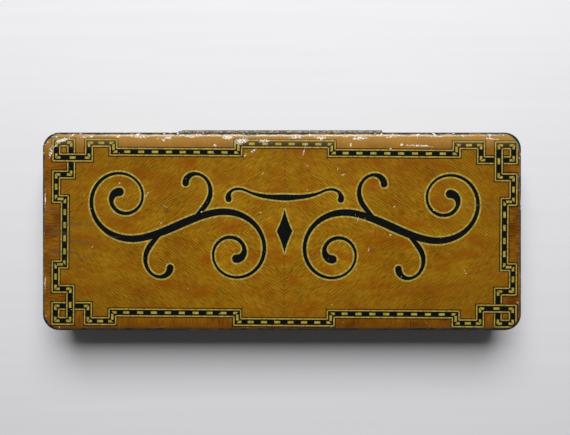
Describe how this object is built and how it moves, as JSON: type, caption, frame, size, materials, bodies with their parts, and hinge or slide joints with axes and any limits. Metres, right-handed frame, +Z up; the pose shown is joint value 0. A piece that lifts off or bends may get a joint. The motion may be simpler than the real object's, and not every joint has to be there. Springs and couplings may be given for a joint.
{
  "type": "pencil case",
  "caption": "Shallow tinplate pencil box with a hinged, shouldered lid printed as inlaid veneer, and a base with dividers and grooved pencil rests.",
  "frame": {"origin": "middle of the underside of the base, on the surface that the box stands on", "axes": "+X along the length, to the right as seen from the front; +Y from the front to the hinge; +Z up through the lid"},
  "size_m": [0.203, 0.0862, 0.022],
  "materials": {
    "printed_tinplate": "lithographed and varnished tinplate, worn at the edges",
    "base_tinplate": "brown varnished tinplate outside, gold lacquer inside",
    "inner_tinplate": "tinplate with a clear gold lacquer",
    "hinge_steel": "tarnished tinned steel strip",
    "hinge_wire": "drawn steel wire, darkened",
    "line_ink": "black printing ink under varnish",
    "yellow_ink": "straw-yellow printing ink under varnish"
  },
  "bodies": {
    "base": {"base_shell": "base_tinplate", "base_hinge_leaf": "hinge_steel", "hinge_pin": "hinge_wire", "long_divider": "inner_tinplate", "nib_divider": "inner_tinplate", "rubber_divider": "inner_tinplate", "pencil_rest_left": "inner_tinplate", "pencil_rest_right": "inner_tinplate"},
    "lid": {"lid_shell": "printed_tinplate", "lid_hinge_leaf": "hinge_steel"}
  },
  "joints": [
    {"name": "lid_hinge", "type": "hinge", "parent": "base", "child": "lid", "pos_m": [0, 0.0431, 0.0126], "axis": [-1, 0, 0], "range_deg": [0, 180]}
  ]
}
